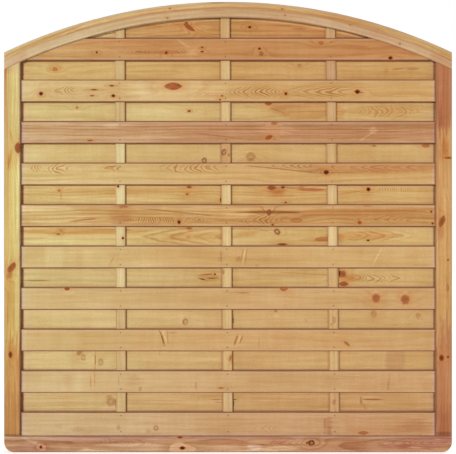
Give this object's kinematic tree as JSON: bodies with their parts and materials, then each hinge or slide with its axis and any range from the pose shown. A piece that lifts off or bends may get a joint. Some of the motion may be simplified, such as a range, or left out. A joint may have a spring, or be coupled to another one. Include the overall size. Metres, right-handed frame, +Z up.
{
  "type": "fence panel",
  "caption": "Arched wooden fence panel: front and back boards lap over upright battens in a grooved frame of stiles, bottom rail and bent top, to screen a garden bay between posts.",
  "frame": {"origin": "middle of the panel's foot, on the floor, midway through its depth", "axes": "+X to the right seen from the front, -Y out of the front, +Z up"},
  "size_m": [1.8, 0.045, 1.81],
  "materials": {
    "frame_pine": "planed, pressure treated",
    "board_pine": "planed, pressure treated",
    "batten_pine": "planed, pressure treated",
    "tenon_beech": "planed, glued in",
    "brad_steel": "galvanised wire, dulled"
  },
  "bodies": {
    "root": {"arch_lower_lamination": "frame_pine", "arch_upper_lamination": "frame_pine", "back_board_01": "board_pine", "back_board_02": "board_pine", "back_board_03": "board_pine", "back_board_04": "board_pine", "back_board_05": "board_pine", "back_board_06": "board_pine", "back_board_07": "board_pine", "back_board_08": "board_pine", "back_board_09": "board_pine", "back_board_10": "board_pine", "back_brads": "brad_steel", "bottom_rail": "frame_pine", "front_board_01": "board_pine", "front_board_02": "board_pine", "front_board_03": "board_pine", "front_board_04": "board_pine", "front_board_05": "board_pine", "front_board_06": "board_pine", "front_board_07": "board_pine", "front_board_08": "board_pine", "front_board_09": "board_pine", "front_board_10": "board_pine", "front_brads": "brad_steel", "left_batten": "batten_pine", "left_stile": "frame_pine", "loose_tenons": "tenon_beech", "middle_batten": "batten_pine", "right_batten": "batten_pine", "right_stile": "frame_pine"}
  },
  "joints": []
}
